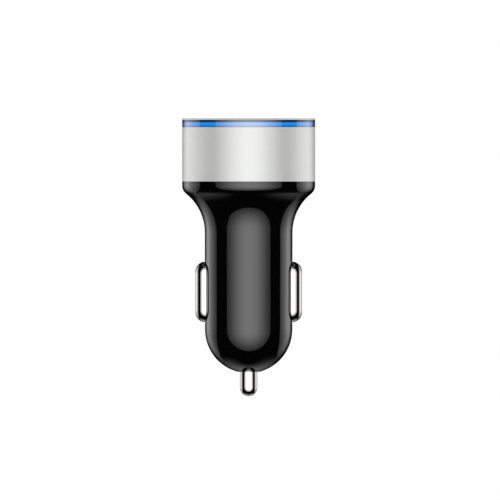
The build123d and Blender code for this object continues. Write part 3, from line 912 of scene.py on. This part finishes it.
def rounded(corners, steps=6):
    """Outline through corners given as (from the axis, height, radius). A radius of 0 leaves one sharp."""
    outline = []
    for number, (across, height, radius) in enumerate(corners):
        corner = Vector((across, height))
        if radius == 0:
            outline.append(corner)
            continue
        before = (Vector(corners[number - 1][:2]) - corner).normalized()
        after = (Vector(corners[(number + 1) % len(corners)][:2]) - corner).normalized()
        half = before.angle(after) / 2
        centre = corner + (before + after).normalized() * radius / math.sin(half)
        start = corner + before * radius / math.tan(half) - centre
        end = corner + after * radius / math.tan(half) - centre
        swing = math.pi - 2 * half
        for step in range(steps + 1):
            ahead = swing * step / steps
            spoke = start * math.sin(swing - ahead) + end * math.sin(ahead)
            outline.append(centre + spoke / math.sin(swing))
    return outline


def as_piece(name, shape):
    """A mesh object from a bmesh, shaded smooth but for its sharp edges, its large faces kept flat."""
    bmesh.ops.recalc_face_normals(shape, faces=shape.faces)
    mesh = bpy.data.meshes.new(name)
    shape.to_mesh(mesh)
    shape.free()
    mesh.shade_smooth()
    mesh.set_sharp_from_angle(angle=SHARP_ANGLE)
    piece = bpy.data.objects.new(name, mesh)
    scene.collection.objects.link(piece)
    flat = piece.modifiers.new("large faces stay flat", "WEIGHTED_NORMAL")
    flat.keep_sharp = True
    return piece


def turned(name, outline, closed=True, stretch=0.0):
    """An outline carried round Z. Each end of an open one is a point on the axis or gets a flat face."""
    shape = bmesh.new()
    rows = []
    for across, height in outline:
        row = []
        for step in range(TURN_STEPS if across else 1):
            angle = 2 * math.pi * (step + 0.5) / TURN_STEPS
            shift = math.copysign(stretch, math.cos(angle))
            row.append(shape.verts.new((across * math.cos(angle) + shift, across * math.sin(angle), height)))
        rows.append(row)
    for lower, upper in zip(rows, rows[1:] + rows[:1] if closed else rows[1:]):
        for step in range(TURN_STEPS):
            corners = ((lower, step), (lower, step + 1), (upper, step + 1), (upper, step))
            # A row on the axis is one point, which two corners share, so the face there has three.
            shape.faces.new(tuple(dict.fromkeys(row[at % len(row)] for row, at in corners)))
    if not closed:
        for row in (rows[0], rows[-1]):
            if len(row) > 1:
                shape.faces.new(row)
    return as_piece(name, shape)


def place_piece(piece, body, material, slot, *replaced):
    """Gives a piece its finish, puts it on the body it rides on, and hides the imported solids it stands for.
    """
    piece.data.materials.append(material)
    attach(piece, body)
    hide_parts(*replaced)
    print(piece.name, "has", len(piece.data.polygons), "faces")


# %% [markdown]
# **Sleeve, light ring and bezel.** Each is one closed outline. The sleeve is a plain tube, and the ring a
# band on top of it with a skirt that reaches down to the LEDs. The bezel is a flat rim. Their outer edges
# are broken by a few hundredths of a millimetre, as a turned or moulded edge is, and those small rounds
# draw the fine bright lines along the joints.

# %% Sleeve, light ring and bezel meshes
SLEEVE_WALL = 1.0 * MM
EDGE = 0.05 * MM
BEZEL_EDGE = 0.12 * MM


def tube(outer, inner, low, high, top_edge=EDGE):
    """Outline of a plain tube. Its outer top edge can have a round of its own."""
    return rounded([(outer, low, EDGE), (outer, high, top_edge), (inner, high, EDGE), (inner, low, EDGE)])


sleeve = turned("turned_sleeve", tube(head_radius, head_radius - SLEEVE_WALL, sleeve_low.z, sleeve_high.z))
place_piece(sleeve, "housing", satin, "satin_aluminium", "head_sleeve")

ring_corners = [
    (SKIRT_OUTER - SKIRT_WALL, ring_low.z, EDGE),
    (SKIRT_OUTER, ring_low.z, EDGE),
    (SKIRT_OUTER, sleeve_high.z, EDGE),
    (head_radius, sleeve_high.z, EDGE),
    (head_radius, ring_high.z, EDGE),
    (SKIRT_OUTER - SKIRT_WALL, ring_high.z, EDGE),
]
ring = turned("moulded_light_ring", rounded(ring_corners))
place_piece(ring, "housing", light_guide, "blue_light_guide", "light_ring")

bezel_low, bezel_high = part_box("face_bezel")
bezel_inner = head_radius - BEZEL_WIDTH
bezel = turned("turned_bezel", tube(head_radius, bezel_inner, bezel_low.z, bezel_high.z, BEZEL_EDGE))
place_piece(bezel, "housing", matt_rim, "satin_aluminium", "face_bezel")

# %% [markdown]
# **Tip contact.** It is a turned pin with a full round end. Above the housing's hole it has a shank, a
# flange that stops it from falling out and a peg that centres its spring. Its outline starts and ends on
# the axis, so the ends close in a point. The round end is a quarter circle of the tip's own radius, in fine
# steps.

# %% Tip contact mesh
TIP_SHOULDER = 0.37 * MM
TIP_STRAIGHT_GAP = 0.1 * MM
TIP_FLANGE, TIP_PEG = 1.2 * MM, 1.5 * MM
TIP_BREAK, FLANGE_BREAK, PEG_BREAK = 0.1 * MM, 0.08 * MM, 0.2 * MM
PEG_RADIUS = 1.95 * MM
ROUND_STEPS = 24


def quarter_round(across, height, radius, way):
    """Corners on a quarter circle round a centre, from above it (way 1) or below it (way -1) outwards."""
    angles = (math.pi / 2 * step / ROUND_STEPS for step in range(ROUND_STEPS + 1))
    return [(across + radius * math.sin(a), height + way * radius * math.cos(a), 0) for a in angles]


tip_radius = mounts["centre_contact"]["dims"]["r_mm"] * MM
dome_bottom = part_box("barrel_housing")[0].z
tip_low, tip_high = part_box("tip_contact")
peg_foot = tip_high.z - TIP_PEG
seat = peg_foot - TIP_FLANGE
shank = tip_radius + TIP_SHOULDER
nose = quarter_round(0, tip_low.z + tip_radius, tip_radius, -1)
above = [
    (tip_radius, dome_bottom - TIP_STRAIGHT_GAP, TIP_BREAK),
    (shank, seat - TIP_SHOULDER, TIP_BREAK),
    (shank, seat, EDGE),
    (tip_high.x, seat, FLANGE_BREAK),
    (tip_high.x, peg_foot, FLANGE_BREAK),
    (PEG_RADIUS, peg_foot, EDGE),
    (PEG_RADIUS, tip_high.z, PEG_BREAK),
    (0, tip_high.z, 0),
]
tip = turned("turned_tip", rounded(nose + above), closed=False)
place_piece(tip, "tip", nickel, "bright_nickel", "tip_contact")

# %% [markdown]
# **Side contacts.** Each is a cap pressed from brass sheet, long and round-ended. From its crown it curves
# down to a narrow straight rim and is undercut below it. The solid's undercut is a flat bevel, and in a
# mirror finish a bevel of 45 degrees sends the light back out as white. Pressing rolls the edge under, and
# that roll draws the dark line where the cap leaves the barrel. Behind the slot a lip holds it, and a pocket
# takes its leaf spring. The whole section is one outline, carried round and pulled apart lengthwise. It is
# built upright at the origin and laid over to its side of the barrel.

# %% Side contact meshes
CONTACT_LIP = 1.1 * MM
CONTACT_ROUND = 2.35 * MM
CONTACT_RIM = 0.05 * MM
CONTACT_UNDERCUT, CONTACT_ROLL = 0.5 * MM, 0.45 * MM
CONTACT_WALL, CROWN_WALL = 0.4 * MM, 0.6 * MM
POCKET_CHAMFER = 0.6 * MM
PRESS_BREAK, STEM_BREAK = 0.1 * MM, 0.02 * MM

for side_name, side in (("left", -1), ("right", 1)):
    low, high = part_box(f"{side_name}_side_contact")
    crown = max(abs(low.x), abs(high.x))
    back = min(abs(low.x), abs(high.x))
    lip = high.y
    cap = lip - CONTACT_LIP
    stem = cap - CONTACT_UNDERCUT
    pocket = stem - CONTACT_WALL
    rim_top = crown - CONTACT_ROUND
    rim_foot = rim_top - CONTACT_RIM
    crown_arc = quarter_round(cap - CONTACT_ROUND, rim_top, CONTACT_ROUND, 1)
    behind = [
        (cap, rim_foot - CONTACT_UNDERCUT, CONTACT_ROLL),
        (stem, rim_foot - CONTACT_UNDERCUT, STEM_BREAK),
        (stem, back + CONTACT_WALL, PRESS_BREAK),
        (lip, back + CONTACT_WALL, PRESS_BREAK),
        (lip, back, PRESS_BREAK),
        (pocket, back, PRESS_BREAK),
        (pocket, crown - CROWN_WALL - POCKET_CHAMFER, PRESS_BREAK),
        (pocket - POCKET_CHAMFER, crown - CROWN_WALL, 0),
    ]
    contact = turned(
        f"pressed_{side_name}_contact",
        rounded(crown_arc + behind),
        closed=False,
        stretch=(high.z - low.z) / 2 - lip,
    )
    laid_over = Matrix(((0, 0, side), (0, -side, 0), (1, 0, 0))).to_4x4()
    contact.data.transform(Matrix.Translation((0, 0, (low.z + high.z) / 2)) @ laid_over)
    place_piece(contact, f"{side_name}_contact", nickel, "bright_nickel", f"{side_name}_side_contact")

# %% [markdown]
# **Springs and winding.** They are wire and strip, so they are swept: a small section travels along a path
# of points, square to it. The direction that the section keeps in line with is given at each point, away
# from the coil's axis for wire and along Y for the strip, so it never twists.


# %% Swept meshes
WIRE_SIDES = 12


def swept(name, path, keep, section, widths=None):
    """A closed section carried along a path, its first axis in the direction kept and scaled by widths."""
    shape = bmesh.new()
    rows = []
    for number, point in enumerate(path):
        ahead = path[min(number + 1, len(path) - 1)] - path[max(number - 1, 0)]
        across = keep[number]
        other = ahead.cross(across).normalized()
        width = widths[number] if widths else 1
        rows.append([shape.verts.new(point + across * width * a + other * b) for a, b in section])
    for lower, upper in zip(rows, rows[1:]):
        for step in range(len(section)):
            shape.faces.new((lower[step - 1], lower[step], upper[step], upper[step - 1]))
    shape.faces.new(rows[0])
    shape.faces.new(rows[-1])
    return as_piece(name, shape)


def wire_section(radius):
    """A round wire's section."""
    angles = [2 * math.pi * step / WIRE_SIDES for step in range(WIRE_SIDES)]
    return [(radius * math.cos(angle), radius * math.sin(angle)) for angle in angles]


# %% [markdown]
# The tip's spring is a compression coil with closed ends: its first and last turns lie flat against their
# neighbours, and only the turns between them are open. In the real plug it shortens as the tip is pressed
# in, towards its upper end, which stays on the terminal; the mesh keeps one length.

# %% Tip spring
SPRING_WIRE = 0.5 * MM
SPRING_TURNS = 7
CLOSED_TURNS = 1.0
COIL_STEPS = 36

low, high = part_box("tip_spring")
coil_radius = high.x - SPRING_WIRE / 2
foot, head = low.z + SPRING_WIRE / 2, high.z - SPRING_WIRE / 2
closed_rise = CLOSED_TURNS * SPRING_WIRE
open_pitch = (head - foot - 2 * closed_rise) / (SPRING_TURNS - 2 * CLOSED_TURNS)
path, outward = [], []
for step in range(SPRING_TURNS * COIL_STEPS + 1):
    turn = step / COIL_STEPS
    middle = min(max(turn - CLOSED_TURNS, 0), SPRING_TURNS - 2 * CLOSED_TURNS)
    rise = (turn - middle) * SPRING_WIRE + middle * open_pitch
    way = Vector((math.cos(2 * math.pi * turn), math.sin(2 * math.pi * turn), 0))
    path.append(way * coil_radius + Vector((0, 0, foot + rise)))
    outward.append(way)
coil = swept("coiled_tip_spring", path, outward, wire_section(SPRING_WIRE / 2))
place_piece(coil, "housing", spring_steel, "spring_steel", "tip_spring")
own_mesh(coil)
print("the coil is open by", round((open_pitch - SPRING_WIRE) / MM, 2), "mm between its turns")

# %% [markdown]
# Each leaf spring is a bowed strip. Its feet stand against the edge of the main board and its crown touches
# the roof of the contact's pocket. It narrows towards its feet, which clears the pocket's round ends when it
# flattens, as the contact is pressed in.

# %% Leaf springs
LEAF_METAL = 0.25 * MM
LEAF_STEPS = 48
LEAF_ROUND = 0.06 * MM
LEAF_NARROWS, LEAF_FOOT = 0.45, 0.5

for side_name, side in (("left", -1), ("right", 1)):
    low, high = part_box(f"{side_name}_contact_spring")
    base = min(abs(low.x), abs(high.x))
    bow = max(abs(low.x), abs(high.x)) - base
    half = (high.z - low.z) / 2
    middle = (high.z + low.z) / 2
    outer_radius = (half**2 + bow**2) / (2 * bow)
    centre = base + bow - outer_radius
    radius = outer_radius - LEAF_METAL / 2
    reach = math.acos((base - centre + LEAF_METAL / 2) / radius)
    path, widths = [], []
    for step in range(LEAF_STEPS + 1):
        share = 2 * step / LEAF_STEPS - 1
        widths.append(1 - (1 - LEAF_FOOT) * fade(abs(share), LEAF_NARROWS, 1))
        angle = reach * share
        away = centre + radius * math.cos(angle)
        path.append(Vector((side * away, 0, middle + radius * math.sin(angle))))
    across, thick = high.y, LEAF_METAL / 2
    corners = [(across, thick), (-across, thick), (-across, -thick), (across, -thick)]
    section = [tuple(point) for point in rounded([(a, b, LEAF_ROUND) for a, b in corners], steps=3)]
    leaf = swept(f"bowed_{side_name}_leaf", path, [Vector((0, 1, 0))] * len(path), section, widths)
    place_piece(leaf, "housing", spring_steel, "spring_steel", f"{side_name}_contact_spring")
    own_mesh(leaf)

# %% [markdown]
# The inductor is wound in two layers of round wire. The wire runs along the core in the lower layer and
# comes back in the upper one.

# %% Inductor winding
WINDING_WIRE = 0.4 * MM

low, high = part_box("inductor_winding")
drum = (low + high) / 2
outer_layer = (high.x - low.x) / 2 - WINDING_WIRE / 2
layers = (outer_layer - WINDING_WIRE, outer_layer)
turns = int((high.y - low.y) / WINDING_WIRE + 0.5) - 1
run = high.y - low.y - WINDING_WIRE
path, outward = [], []
for layer, layer_radius in enumerate(layers):
    for step in range(turns * COIL_STEPS + 1):
        share = step / (turns * COIL_STEPS)
        along = share if layer == 0 else 1 - share
        angle = 2 * math.pi * step / COIL_STEPS
        way = Vector((math.cos(angle), 0, math.sin(angle)))
        path.append(Vector((drum.x, low.y + WINDING_WIRE / 2 + along * run, drum.z)) + way * layer_radius)
        outward.append(way)
winding = swept("wound_copper", path, outward, wire_section(WINDING_WIRE / 2))
place_piece(winding, "housing", enamelled, "copper_wire", "inductor_winding")
print("the inductor has", turns, "turns in each of", len(layers), "layers")
